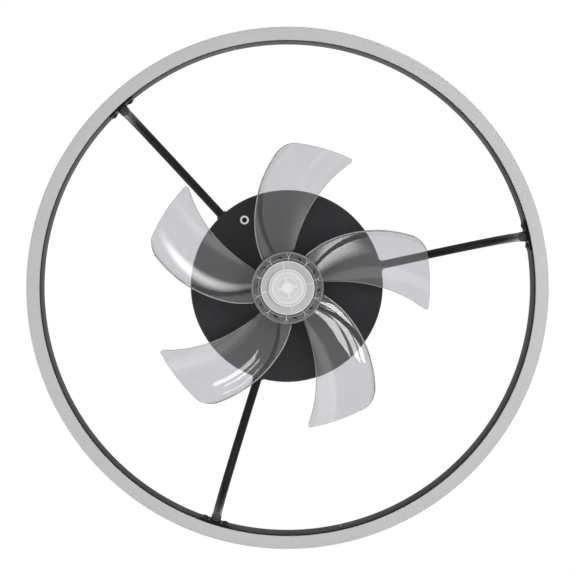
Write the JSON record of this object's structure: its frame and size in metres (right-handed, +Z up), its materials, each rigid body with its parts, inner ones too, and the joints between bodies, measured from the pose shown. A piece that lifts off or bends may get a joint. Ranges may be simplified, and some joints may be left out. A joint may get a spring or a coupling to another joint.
{
  "type": "orbital ceiling fan",
  "caption": "Close-to-ceiling fan with a clear bladed impeller under a round canopy, and a wide flat light ring held round it by bent tube arms.",
  "frame": {"origin": "on the fan's axis, in the ceiling plane that the bracket's top face lies in", "axes": "+Z up towards the ceiling; +X along the ceiling bracket; the object hangs below the origin"},
  "size_m": [0.6, 0.6, 0.19],
  "materials": {
    "black_powder_coat": "satin powder coat",
    "frame_black": "satin anodised black",
    "diffuser_milky": "satin opal",
    "clear_smoke": "gloss, clear grey",
    "cap_frost": "satin, translucent",
    "zinc_plate": "zinc plated",
    "steel": "ground",
    "lamination": "dull",
    "magnet": "dull",
    "copper_wire": "enamelled",
    "rubber_black": "matte",
    "white_plastic": "satin",
    "board": "solder mask",
    "components": "mixed",
    "bezel_pale": "gloss",
    "lens_dark": "gloss",
    "green_screw": "green passivated",
    "strip_white": "satin",
    "chip_yellow": "gel",
    "lead_black": "matte",
    "lead_white": "matte"
  },
  "bodies": {
    "canopy": {"ceiling_bracket": "zinc_plate", "ground_screw": "green_screw", "canopy_shell": "black_powder_coat", "canopy_side_screws": "black_powder_coat", "chassis_plate": "zinc_plate", "led_driver": "white_plastic", "driver_screws": "steel", "control_board": "board", "board_components": "components", "board_standoffs": "steel", "board_screws": "steel", "terminal_block": "white_plastic", "receiver_bezel": "bezel_pale", "receiver_lens": "lens_dark", "receiver_board": "board", "motor_isolator": "rubber_black", "motor_screws": "steel", "motor_back_cover": "black_powder_coat", "motor_housing": "black_powder_coat", "stator_core": "lamination", "stator_windings": "copper_wire", "bearing_outer_rings": "steel", "bearing_balls": "steel", "motor_lead": "lead_black", "arm_1": "black_powder_coat", "arm_2": "black_powder_coat", "arm_3": "black_powder_coat", "arm_collars": "black_powder_coat", "arm_washers": "zinc_plate", "arm_lock_nuts": "zinc_plate", "tube_end_caps": "black_powder_coat", "ring_brackets": "black_powder_coat", "ring_screws": "black_powder_coat", "ring_frame_1": "frame_black", "ring_frame_2": "frame_black", "ring_splices": "zinc_plate", "led_strip": "strip_white", "led_chips": "chip_yellow", "diffuser": "diffuser_milky", "led_lead": "lead_white"},
    "impeller": {"impeller": "clear_smoke", "spinner_cap": "cap_frost", "motor_shaft": "steel", "rotor_core": "lamination", "rotor_magnets": "magnet", "drive_pin": "steel", "bearing_inner_rings": "steel"}
  },
  "joints": [
    {"name": "fan_spin", "type": "hinge", "parent": "canopy", "child": "impeller", "pos_m": [0, 0, -0.1], "axis": [0, 0, 1], "continuous": true}
  ]
}
